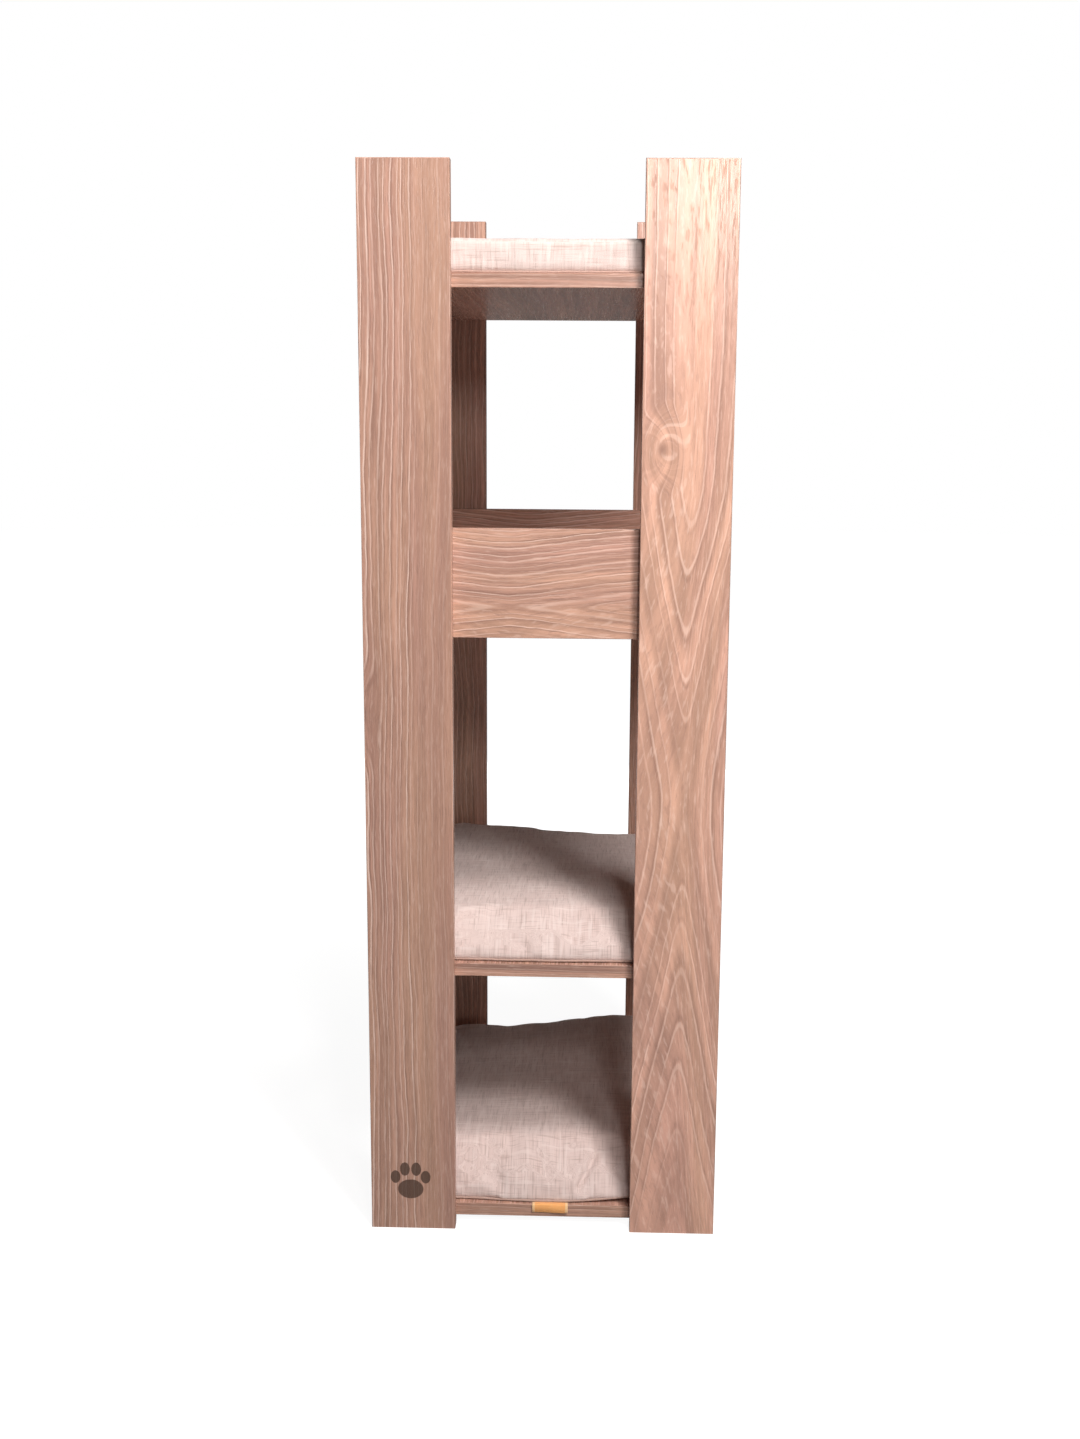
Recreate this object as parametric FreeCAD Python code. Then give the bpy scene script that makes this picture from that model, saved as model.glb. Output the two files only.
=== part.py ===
import FreeCAD, Part
import os

# A slim cat tree. Four flat posts carry three cushioned shelves and, between the upper two,
# an open-topped nest box. The boards are joined by cam fittings, dowels and screws.
# Millimetres, +X to the right, -Y to the front, +Z up, origin on the floor at the middle.

# Driving dimensions
WIDTH = 400.0
DEPTH = 500.0
HEIGHT = 1200.0
BOARD = 15.0
POST_WIDTH = 98.0
SHELF_UNDERSIDES = {"bottom": 10.0, "middle": 306.0, "top": 1071.0}
NEST_UNDERSIDE = 697.0
NEST_HEIGHT = 120.0

# Edge bands glued to the boards
BAND = 1.0
BAND_ROUNDING = 0.6

# Cam fittings: a bolt screwed into one board is held by a turning cam in the other
CAM_RADIUS = 7.5
CAM_BORE_DEPTH = 12.5
CAM_HEIGHT = 12.2
CAM_SETBACK = 24.0
CAM_CHANNEL_RADIUS = 3.9
CAM_CHANNEL_PAST_CENTRE = 4.0
CAM_SLOT = (9.0, 1.6, 2.0)
BOLT_BORE_RADIUS = 4.0
BOLT_PILOT_RADIUS = 2.5
BOLT_PILOT_DEPTH = 11.0
BOLT_STEPS = ((-10.5, 0.0, 2.45), (0.0, 1.8, 3.6), (1.8, 21.0, 2.4), (21.0, 25.0, 3.4))

# Wooden dowels
DOWEL_RADIUS = 4.0
DOWEL_IN_FACE = 10.0
DOWEL_IN_EDGE = 18.0
DOWEL_CHAMFER = 1.0
DOWEL_SPARE_DEPTH = 1.0

# Countersunk screws that hold the nest to the posts
SCREW_LENGTH = 24.0
SCREW_RADIUS = 2.0
SCREW_HEAD_RADIUS = 4.0
SCREW_HEAD_DEPTH = 2.6
SCREW_SLOT = (4.0, 1.0, 1.2)

# Play between a fitting and its bore, and how far a cutter starts outside the board
PLAY = 0.05
OVERSHOOT = 1.0

# Places of the fittings, from the middle of the tree
SHELF_CAM_X = 168.0
SHELF_DOWEL_X = 124.0
NEST_SCREW_X = 150.0
NEST_SCREW_HEIGHTS = (31.0, 91.0)
NEST_SIDE_CAM_HEIGHT = 90.0
NEST_SIDE_DOWEL_HEIGHT = 42.0
NEST_FLOOR_CAM_X = 110.0
NEST_FLOOR_DOWEL_Y = 120.0

# Cushions: footprint, thickness, then the covers' common details
CUSHION_SIZES = {
    "bottom": (392.0, 462.0, 66.0),
    "middle": (392.0, 462.0, 50.0),
    "top": (392.0, 462.0, 34.0),
}
CUSHION_CORNER = 26.0
CUSHION_EDGE = 10.0
CUSHION_REST_GAP = 0.3
COVER_THICKNESS = 1.2
FILLING_GAP = 0.3
PIPING_RADIUS = 1.5

# Woven tag sewn into the bottom cushion's front seam
TAG_WIDTH = 42.0
TAG_CENTRE_X = 8.6
TAG_THICKNESS = 0.8
TAG_DROP = 11.0
TAG_FRONT_GAP = 1.2

HALF_WIDTH = WIDTH / 2
HALF_DEPTH = DEPTH / 2
FRAME_HALF_DEPTH = HALF_DEPTH - BOARD
X, Y, Z = 0, 1, 2

nodes = {}
cutters = {}


def vector(x, y, z):
    return FreeCAD.Vector(x, y, z)


def box(low, high):
    size = [b - a for a, b in zip(low, high)]
    return Part.makeBox(*size, vector(*low))


def cylinder(start, direction, radius, first, last):
    """A cylinder about the line from start, between two distances along it."""
    return Part.makeCylinder(radius, last - first, start + direction * first, direction)


def add(node, *solids):
    nodes.setdefault(node, []).extend(solids)


def drill(board, cutter):
    """Note a bore to be cut from a board and from its edge bands."""
    cutters.setdefault(board, []).append(cutter)


# Boards and their edge bands


def edge_band(low, high, axis, sign):
    """A thin strip whose two long outer edges are slightly rounded."""
    strip = box(low, high)
    outer = high[axis] if sign > 0 else low[axis]
    length = max(b - a for a, b in zip(low, high))
    long_edges = [
        edge
        for edge in strip.Edges
        if abs(edge.Length - length) < 1e-6
        and all(abs(v.Point[axis] - outer) < 1e-6 for v in edge.Vertexes)
    ]
    return strip.makeFillet(BAND_ROUNDING, long_edges)


def add_board(node, low, high, banded=()):
    """Add a board as its core and its edge bands. banded lists (axis, sign), longest bands first."""
    low, high = list(low), list(high)
    for axis, sign in banded:
        strip_low, strip_high = list(low), list(high)
        if sign > 0:
            high[axis] -= BAND
            strip_low[axis] = high[axis]
        else:
            low[axis] += BAND
            strip_high[axis] = low[axis]
        add(node + "_edging", edge_band(strip_low, strip_high, axis, sign))
    add(node, box(low, high))


def add_posts():
    banded = [(X, -1), (X, 1), (Z, 1)]
    for row, side_y in (("front", -1), ("rear", 1)):
        near, far = sorted((side_y * FRAME_HALF_DEPTH, side_y * HALF_DEPTH))
        for hand, side_x in (("left", -1), ("right", 1)):
            left, right = sorted((side_x * (HALF_WIDTH - POST_WIDTH), side_x * HALF_WIDTH))
            add_board(f"{row}_{hand}_post", (left, near, 0), (right, far, HEIGHT), banded)


def add_shelves():
    banded = [(Y, -1), (Y, 1), (X, -1), (X, 1)]
    for level, underside in SHELF_UNDERSIDES.items():
        low = (-HALF_WIDTH, -FRAME_HALF_DEPTH, underside)
        high = (HALF_WIDTH, FRAME_HALF_DEPTH, underside + BOARD)
        add_board(f"{level}_shelf", low, high, banded)


def add_nest():
    """Four aprons and a floor. The front and rear aprons run the whole width behind the posts."""
    top = NEST_UNDERSIDE + NEST_HEIGHT
    inner_y = FRAME_HALF_DEPTH - BOARD
    inner_x = HALF_WIDTH - BOARD
    for row, side_y in (("front", -1), ("rear", 1)):
        near, far = sorted((side_y * inner_y, side_y * FRAME_HALF_DEPTH))
        low = (-HALF_WIDTH, near, NEST_UNDERSIDE)
        high = (HALF_WIDTH, far, top)
        add_board(f"nest_{row}_apron", low, high, [(Z, -1), (Z, 1), (X, -1), (X, 1)])
    for hand, side_x in (("left", -1), ("right", 1)):
        left, right = sorted((side_x * inner_x, side_x * HALF_WIDTH))
        low = (left, -inner_y, NEST_UNDERSIDE)
        high = (right, inner_y, top)
        add_board(f"nest_{hand}_apron", low, high, [(Z, -1), (Z, 1)])
    low = (-inner_x, -inner_y, NEST_UNDERSIDE)
    add_board("nest_floor", low, (inner_x, inner_y, NEST_UNDERSIDE + BOARD))


# Fittings


def cross_slot(centre, outward, across, size):
    """The cross cut in a fitting's face for a screwdriver."""
    length, width, depth = size
    other = outward.cross(across)
    bars = []
    for along, beside in ((across, other), (other, across)):
        corner = centre - along * (length / 2) - beside * (width / 2) - outward * depth
        sides = along * length + beside * width + outward * (depth + OVERSHOOT)
        far = corner + sides
        low = [min(a, b) for a, b in zip(corner, far)]
        high = [max(a, b) for a, b in zip(corner, far)]
        bars.append(box(low, high))
    return bars[0].fuse(bars[1])


def add_cam(group, bolted, held, point, along, outward):
    """Join held to bolted. point is where the bolt leaves the face of bolted, along points into
    held, and outward points from the middle of held to the face its cam is let into."""
    drill(bolted, cylinder(point, along, BOLT_PILOT_RADIUS, -BOLT_PILOT_DEPTH, OVERSHOOT))
    drill(held, cylinder(point, along, BOLT_BORE_RADIUS, -OVERSHOOT, CAM_SETBACK))
    centre = point + along * CAM_SETBACK
    face = BOARD / 2
    floor = face - CAM_BORE_DEPTH
    drill(held, cylinder(centre, outward, CAM_RADIUS, floor, face + OVERSHOOT))

    steps = [cylinder(point, along, radius, first, last) for first, last, radius in BOLT_STEPS]
    add(f"{group}_cam_bolts", steps[0].fuse(steps[1:]).removeSplitter())

    housing = cylinder(centre, outward, CAM_RADIUS - PLAY, face - CAM_HEIGHT, face)
    first = -CAM_RADIUS - OVERSHOOT
    channel = cylinder(centre, along, CAM_CHANNEL_RADIUS, first, CAM_CHANNEL_PAST_CENTRE)
    slot = cross_slot(centre + outward * face, outward, along, CAM_SLOT)
    add(f"{group}_cam_housings", housing.cut(channel).cut(slot))


def add_dowel(group, bolted, held, point, along):
    """Locate held on bolted with a dowel that enters the face of bolted and the edge of held."""
    in_face = DOWEL_IN_FACE + DOWEL_SPARE_DEPTH
    in_edge = DOWEL_IN_EDGE + DOWEL_SPARE_DEPTH
    drill(bolted, cylinder(point, along, DOWEL_RADIUS, -in_face, OVERSHOOT))
    drill(held, cylinder(point, along, DOWEL_RADIUS, -OVERSHOOT, in_edge))
    dowel = cylinder(point, along, DOWEL_RADIUS - PLAY, -DOWEL_IN_FACE, DOWEL_IN_EDGE)
    rims = [edge for edge in dowel.Edges if edge.isClosed()]
    add(f"{group}_dowels", dowel.makeChamfer(DOWEL_CHAMFER, rims))


def add_screw(group, held, post, point, along):
    """A countersunk screw from the face of held, at point, through it and into the post."""
    sink = Part.makeCone(
        SCREW_HEAD_RADIUS + PLAY, SCREW_RADIUS + PLAY, SCREW_HEAD_DEPTH, point, along
    )
    drill(held, sink.fuse(cylinder(point, along, SCREW_RADIUS + PLAY, 0, BOARD + OVERSHOOT)))
    drill(post, cylinder(point, along, SCREW_RADIUS, BOARD - OVERSHOOT, SCREW_LENGTH + OVERSHOOT))
    head = Part.makeCone(
        SCREW_HEAD_RADIUS, SCREW_RADIUS - PLAY, SCREW_HEAD_DEPTH, point, along
    )
    screw = head.fuse(cylinder(point, along, SCREW_RADIUS - PLAY, SCREW_HEAD_DEPTH, SCREW_LENGTH))
    slot = cross_slot(point, along * -1, vector(1, 0, 0), SCREW_SLOT)
    add(f"{group}_post_screws", screw.removeSplitter().cut(slot))


def add_shelf_fittings():
    for level, underside in SHELF_UNDERSIDES.items():
        shelf = f"{level}_shelf"
        middle = underside + BOARD / 2
        for row, side_y in (("front", -1), ("rear", 1)):
            inward = vector(0, -side_y, 0)
            face = side_y * FRAME_HALF_DEPTH
            for hand, side_x in (("left", -1), ("right", 1)):
                post = f"{row}_{hand}_post"
                cam_at = vector(side_x * SHELF_CAM_X, face, middle)
                dowel_at = vector(side_x * SHELF_DOWEL_X, face, middle)
                add_cam(shelf, post, shelf, cam_at, inward, vector(0, 0, -1))
                add_dowel(shelf, post, shelf, dowel_at, inward)


def add_nest_fittings():
    inner_y = FRAME_HALF_DEPTH - BOARD
    floor_middle = NEST_UNDERSIDE + BOARD / 2
    side_middle = HALF_WIDTH - BOARD / 2
    for row, side_y in (("front", -1), ("rear", 1)):
        apron = f"nest_{row}_apron"
        inward = vector(0, -side_y, 0)
        face = side_y * inner_y
        for hand, side_x in (("left", -1), ("right", 1)):
            side = f"nest_{hand}_apron"
            for height in NEST_SCREW_HEIGHTS:
                at = vector(side_x * NEST_SCREW_X, face, NEST_UNDERSIDE + height)
                add_screw("nest", apron, f"{row}_{hand}_post", at, inward * -1)
            at = vector(side_x * side_middle, face, NEST_UNDERSIDE + NEST_SIDE_CAM_HEIGHT)
            add_cam("nest", apron, side, at, inward, vector(-side_x, 0, 0))
            at = vector(side_x * side_middle, face, NEST_UNDERSIDE + NEST_SIDE_DOWEL_HEIGHT)
            add_dowel("nest", apron, side, at, inward)
            at = vector(side_x * NEST_FLOOR_CAM_X, face, floor_middle)
            add_cam("nest", apron, "nest_floor", at, inward, vector(0, 0, -1))
            at = vector(side_x * (HALF_WIDTH - BOARD), side_y * NEST_FLOOR_DOWEL_Y, floor_middle)
            add_dowel("nest", side, "nest_floor", at, vector(-side_x, 0, 0))


def cut_bores():
    """Cut each board's bores from its core and from the bands they pass through."""
    for board, tools in cutters.items():
        for node in (board, board + "_edging"):
            if node in nodes:
                nodes[node] = [solid.cut(tools) for solid in nodes[node]]


# Cushions


def rounded_block(low, high, corner, edge):
    """A block with round upright corners, then a round top and bottom rim."""
    block = box(low, high)
    upright = [e for e in block.Edges if abs(e.tangentAt(e.FirstParameter).z) > 0.99]
    block = block.makeFillet(corner, upright)
    rims = [
        e
        for e in block.Edges
        if all(abs(v.Z - low[Z]) < 1e-6 for v in e.Vertexes)
        or all(abs(v.Z - high[Z]) < 1e-6 for v in e.Vertexes)
    ]
    return block.makeFillet(edge, rims)


def piping_ring(low, high, corner, radius):
    """A cord round the lower rim, on a path of four straights and four quarter arcs."""
    x0, y0 = low[X] + radius, low[Y] + radius
    x1, y1 = high[X] - radius, high[Y] - radius
    z = low[Z] + radius
    bend = corner - radius
    outline = box((x0, y0, z), (x1, y1, z + 1))
    upright = [e for e in outline.Edges if abs(e.tangentAt(e.FirstParameter).z) > 0.99]
    outline = outline.makeFillet(bend, upright)
    base = [face for face in outline.Faces if abs(face.CenterOfMass.z - z) < 1e-6][0]
    section = Part.makeCircle(radius, vector(0, y0, z), vector(1, 0, 0))
    return base.OuterWire.makePipeShell([Part.Wire(section)], True, False)


def add_cushion(level):
    """A sewn cover, the filling inside it, and the piping round its lower rim."""
    width, depth, thickness = CUSHION_SIZES[level]
    base = SHELF_UNDERSIDES[level] + BOARD + CUSHION_REST_GAP
    low = (-width / 2, -depth / 2, base)
    high = (width / 2, depth / 2, base + thickness)
    hollow_low = [value + COVER_THICKNESS for value in low]
    hollow_high = [value - COVER_THICKNESS for value in high]
    inset = COVER_THICKNESS + FILLING_GAP
    filling_low = [value + inset for value in low]
    filling_high = [value - inset for value in high]
    outer = rounded_block(low, high, CUSHION_CORNER, CUSHION_EDGE)
    hollow = rounded_block(
        hollow_low, hollow_high, CUSHION_CORNER - COVER_THICKNESS, CUSHION_EDGE - COVER_THICKNESS
    )
    filling = rounded_block(
        filling_low, filling_high, CUSHION_CORNER - inset, CUSHION_EDGE - inset
    )
    add(f"{level}_cushion_cover", outer.cut(hollow))
    add(f"{level}_cushion_filling", filling)
    add(f"{level}_cushion_piping", piping_ring(low, high, CUSHION_CORNER, PIPING_RADIUS))


def add_tag():
    """A ribbon that leaves the front seam, crosses the shelf's edge and hangs in front of it."""
    shelf_top = SHELF_UNDERSIDES["bottom"] + BOARD
    left = TAG_CENTRE_X - TAG_WIDTH / 2
    right = TAG_CENTRE_X + TAG_WIDTH / 2
    seam = -CUSHION_SIZES["bottom"][Y] / 2 - PLAY
    back = -FRAME_HALF_DEPTH - TAG_FRONT_GAP
    under = shelf_top + CUSHION_REST_GAP
    over = under + TAG_THICKNESS
    lying = box((left, back - TAG_THICKNESS, under), (right, seam, over))
    hanging = box((left, back - TAG_THICKNESS, over - TAG_DROP), (right, back, over))
    add("woven_tag", lying.fuse(hanging).removeSplitter())


def write_parts():
    """Write every node as one STEP file that holds its separate solids."""
    os.makedirs("parts", exist_ok=True)
    for node, shapes in nodes.items():
        solids = [solid for shape in shapes for solid in shape.Solids]
        for solid in solids:
            if not solid.isValid():
                raise ValueError(f"{node} holds a solid that isn't valid")
        shape = solids[0] if len(solids) == 1 else Part.makeCompound(solids)
        shape.exportStep(f"parts/{node}.step")
        volume = sum(solid.Volume for solid in solids)
        print(f"{node}: {len(solids)} solids, {volume:.0f} mm3")


add_posts()
add_shelves()
add_nest()
add_shelf_fittings()
add_nest_fittings()
cut_bores()
for cushion_level in CUSHION_SIZES:
    add_cushion(cushion_level)
add_tag()
write_parts()
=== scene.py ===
import math

import bmesh
import bpy
from mathutils import Matrix, Vector, noise


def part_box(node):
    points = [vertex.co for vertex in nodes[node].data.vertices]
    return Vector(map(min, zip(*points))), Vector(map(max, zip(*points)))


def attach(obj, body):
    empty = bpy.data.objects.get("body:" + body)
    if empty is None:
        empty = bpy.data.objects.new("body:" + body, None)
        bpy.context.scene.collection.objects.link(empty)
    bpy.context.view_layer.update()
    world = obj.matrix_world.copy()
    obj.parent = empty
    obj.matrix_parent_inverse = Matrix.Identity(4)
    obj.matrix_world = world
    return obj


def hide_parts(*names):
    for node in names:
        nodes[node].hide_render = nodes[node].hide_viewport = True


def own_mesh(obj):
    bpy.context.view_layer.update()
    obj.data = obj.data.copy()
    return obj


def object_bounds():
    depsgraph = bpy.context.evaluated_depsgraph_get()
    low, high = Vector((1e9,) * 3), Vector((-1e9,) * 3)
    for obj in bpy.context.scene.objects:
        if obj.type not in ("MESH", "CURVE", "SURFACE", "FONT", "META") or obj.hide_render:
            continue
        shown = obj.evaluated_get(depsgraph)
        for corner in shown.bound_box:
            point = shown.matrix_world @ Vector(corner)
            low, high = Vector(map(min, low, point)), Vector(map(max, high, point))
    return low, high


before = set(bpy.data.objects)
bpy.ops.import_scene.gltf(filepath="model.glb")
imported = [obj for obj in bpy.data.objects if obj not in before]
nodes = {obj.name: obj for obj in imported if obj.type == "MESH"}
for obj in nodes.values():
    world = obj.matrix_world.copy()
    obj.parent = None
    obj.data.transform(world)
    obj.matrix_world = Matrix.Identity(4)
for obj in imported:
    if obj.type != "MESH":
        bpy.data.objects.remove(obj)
CAD_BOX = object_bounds()

# ---------------------------------------------------------------------------
# Places and sizes, in metres, worked out from the frame

LEVELS = ("bottom", "middle", "top")
TREE_LOW, TREE_HIGH = (Vector(corner) for corner in CAD_BOX)
POST_LOW, POST_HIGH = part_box("front_left_post_edging")
POST_WIDTH = POST_HIGH.x - POST_LOW.x
SHELF_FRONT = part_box("bottom_shelf_edging")[0].y
POST_GAP = -POST_HIGH.x
POST_CENTRE = POST_GAP + POST_WIDTH / 2
MM = 0.001
BAND = 1.0 * MM

# The camera stands in front of the tree, a little to the right, and looks slightly down.
# Its angles are in radians and its lens in millimetres.
CAMERA_PLACE = (0.0653, -1.9263, 0.9154)
CAMERA_YAW = -0.0277
CAMERA_PITCH = 0.179
CAMERA_ROLL = 0.0072
CAMERA_LENS = 38.7
CAMERA_SHIFT = (-0.0152, -0.0017)


# ---------------------------------------------------------------------------
# Shader building


class Shader:
    """A new material, with short calls that add nodes to it and return their outputs."""

    def __init__(self, name):
        self.material = bpy.data.materials.new(name)
        self.material.use_nodes = True
        self.tree = self.material.node_tree
        self.bsdf = self.tree.nodes["Principled BSDF"]

    def node(self, kind, **settings):
        made = self.tree.nodes.new("ShaderNode" + kind)
        for key, value in settings.items():
            setattr(made, key, value)
        return made

    def feed(self, socket, value):
        if isinstance(value, bpy.types.NodeSocket):
            self.tree.links.new(value, socket)
        else:
            socket.default_value = value

    def math(self, operation, first, second=0.0, third=0.0):
        made = self.node("Math", operation=operation)
        for socket, value in zip(made.inputs, (first, second, third)):
            self.feed(socket, value)
        return made.outputs[0]

    def add(self, first, second):
        return self.math("ADD", first, second)

    def subtract(self, first, second):
        return self.math("SUBTRACT", first, second)

    def times(self, first, second):
        return self.math("MULTIPLY", first, second)

    def combine(self, x, y, z):
        made = self.node("CombineXYZ")
        for socket, value in zip(made.inputs, (x, y, z)):
            self.feed(socket, value)
        return made.outputs[0]

    def split(self, vector):
        made = self.node("SeparateXYZ")
        self.feed(made.inputs[0], vector)
        return made.outputs

    def place(self):
        """The point's coordinates in the tree's own frame, as three outputs."""
        return self.split(self.node("TexCoord").outputs["Object"])

    def noise(self, vector, detail=2.0, roughness=0.5, distortion=0.0):
        """Noise of about one wave per unit of vector, from 0 to 1."""
        made = self.node("TexNoise")
        self.feed(made.inputs["Vector"], vector)
        made.inputs["Scale"].default_value = 1.0
        made.inputs["Detail"].default_value = detail
        made.inputs["Roughness"].default_value = roughness
        made.inputs["Distortion"].default_value = distortion
        return made.outputs["Fac"]

    def smooth(self, value, low, high, to_low=0.0, to_high=1.0):
        """A soft step of value from low to high, giving to_low to to_high."""
        made = self.node("MapRange", interpolation_type="SMOOTHSTEP")
        for socket, item in zip(made.inputs, (value, low, high, to_low, to_high)):
            self.feed(socket, item)
        return made.outputs["Result"]

    def mix(self, factor, first, second, blend="MIX"):
        made = self.node("Mix", data_type="RGBA", blend_type=blend)
        self.feed(made.inputs["Factor"], factor)
        self.feed(made.inputs["A"], first)
        self.feed(made.inputs["B"], second)
        return made.outputs["Result"]

    def bump(self, height, distance, strength=1.0):
        made = self.node("Bump")
        made.inputs["Strength"].default_value = strength
        made.inputs["Distance"].default_value = distance
        self.feed(made.inputs["Height"], height)
        self.feed(self.bsdf.inputs["Normal"], made.outputs["Normal"])

    def finish(self, colour, roughness, specular=0.5):
        self.feed(self.bsdf.inputs["Base Color"], colour)
        self.feed(self.bsdf.inputs["Roughness"], roughness)
        self.bsdf.inputs["Specular IOR Level"].default_value = specular
        return self.material


def colour(red, green, blue):
    return (red, green, blue, 1.0)


# ---------------------------------------------------------------------------
# Laminated wood

WOOD_DARK = colour(0.300, 0.160, 0.122)
WOOD_BASE = colour(0.490, 0.270, 0.209)
WOOD_WARM = colour(0.535, 0.305, 0.220)
WOOD_LINE = colour(0.860, 0.620, 0.525)
WOOD_VEIN = colour(0.240, 0.128, 0.098)
MARK_BURN = colour(0.085, 0.045, 0.030)
MARK_HEIGHT = 0.058
MARK_SIZE = 0.044
MARK_REACH = 0.0004

# What a board's figure is made of, in metres. The growth lines bend round the heart, which is
# a place along and across the grain: slope is how long their arches are, tip and eye how blunt,
# and reach how far below the heart and above it they go on widening. Lines fade out across the
# grain between the two places in fade. A knot has its place along and across the grain, its
# radius, and how many times longer than wide it is.
PLAIN_FIGURE = {
    "heart": (0.6, -0.45),
    "slope": 60.0,
    "tip": 0.004,
    "eye": 0.08,
    "reach": (2.0, 2.0),
    "spacing": 0.0085,
    "sway": 0.012,
    "wiggle": 0.0013,
    "light_line": 0.6,
    "dark_line": 0.3,
    "shadow": 0.4,
    "line_width": 0.10,
    "bands": 0.14,
    "fibre": 0.20,
    "calm": 0.3,
    "fade": None,
    "knots": (),
    "tone": 1.0,
}


def figure(**changes):
    return {**PLAIN_FIGURE, **changes}


def grain_coordinates(shader, along, across, end_axis=None, end_at=0.0, end_along=None):
    """The distance along the grain and across it. Past end_at on end_axis the strip of edge
    band runs another way, along end_along."""
    axes = dict(zip("XYZ", shader.place()))
    u, v = axes[along], axes[across]
    if end_axis:
        past = shader.math("GREATER_THAN", shader.math("ABSOLUTE", axes[end_axis]), end_at)
        before = shader.subtract(1.0, past)
        u = shader.add(shader.times(u, before), shader.times(axes[end_along], past))
    return u, v


def growth_rings(s, u, v, u_seeded, look, seed):
    """How far each point lies from the heart, swayed and swirled round the knots. Also how dark
    the middle of a knot makes it, and how near it is to a knot."""
    sway = s.noise(s.combine(s.times(u_seeded, 4.6), s.times(v, 13.0), seed), 1.0)
    wiggle = s.noise(s.combine(s.times(u_seeded, 42.0), s.times(v, 95.0), seed), 1.0)
    shift = s.times(s.subtract(sway, 0.5), look["sway"] * 2)
    shift = s.add(shift, s.times(s.subtract(wiggle, 0.5), look["wiggle"] * 2))
    du = s.subtract(u, look["heart"][0])
    dv = s.add(s.subtract(v, look["heart"][1]), shift)
    side = s.math("SQRT", s.add(s.times(dv, dv), look["tip"] ** 2))
    run = s.math("SQRT", s.add(s.times(du, du), look["eye"] ** 2))
    reach = s.smooth(du, -0.05, 0.05, *look["reach"])
    run = s.math("SMOOTH_MIN", run, reach, 0.1)
    ring = s.subtract(side, s.math("DIVIDE", run, look["slope"]))
    core = 0.0
    near = 0.0
    for knot_u, knot_v, radius, stretch in look["knots"]:
        away_u = s.times(s.subtract(u, knot_u), 1.0 / stretch)
        away_v = s.subtract(v, knot_v)
        away = s.math("SQRT", s.add(s.times(away_u, away_u), s.times(away_v, away_v)))
        ring = s.add(ring, s.smooth(away, 0.0, radius, radius * 0.75, 0.0))
        core = s.math("MAXIMUM", core, s.smooth(away, 0.0, radius * 0.22, 0.7, 0.0))
        near = s.math("MAXIMUM", near, s.smooth(away, radius * 0.45, radius * 1.05, 1.0, 0.0))
    return ring, core, near


def growth_lines(s, ring, v, u_seeded, look, seed):
    """Masks of the thin pale lines, of the thin dark ones and of the shadow beside them."""
    spacing = look["spacing"]
    uneven = s.noise(s.combine(s.times(ring, 0.8 / spacing), seed, 3.1), 0.0)
    phase = s.add(s.math("DIVIDE", ring, spacing), s.times(uneven, 1.1))
    cell = s.math("FLOOR", phase)
    part = s.math("FRACT", phase)
    chance = s.node("TexWhiteNoise", noise_dimensions="1D")
    s.feed(chance.inputs["W"], s.add(cell, seed))
    own = s.smooth(chance.outputs["Value"], 0.0, 0.8, 0.5, 1.0)
    coming = s.noise(s.combine(s.times(u_seeded, 13.0), s.times(cell, 3.7), seed), 2.0)
    group = s.noise(s.combine(s.times(ring, 0.34 / spacing), seed + 9.0, 0.0), 0.0)
    presence = s.times(own, s.smooth(coming, 0.30, 0.58, 0.40, 1.0))
    presence = s.times(presence, s.smooth(group, 0.36, 0.58, 1.0 - look["calm"], 1.0))
    if look["fade"]:
        presence = s.times(presence, s.smooth(v, look["fade"][0], look["fade"][1], 1.0, 0.25))
    width = look["line_width"]
    pale = s.smooth(s.math("ABSOLUTE", s.subtract(part, 0.5)), width * 0.3, width, 1.0, 0.0)
    thin = s.smooth(s.math("ABSOLUTE", s.subtract(part, 0.5 + 1.7 * width)), 0.0, width, 1.0, 0.0)
    wide = s.smooth(s.math("ABSOLUTE", s.subtract(part, 0.74)), 0.0, 0.26, 1.0, 0.0)
    return s.times(pale, presence), s.times(thin, presence), s.times(wide, presence)


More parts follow.
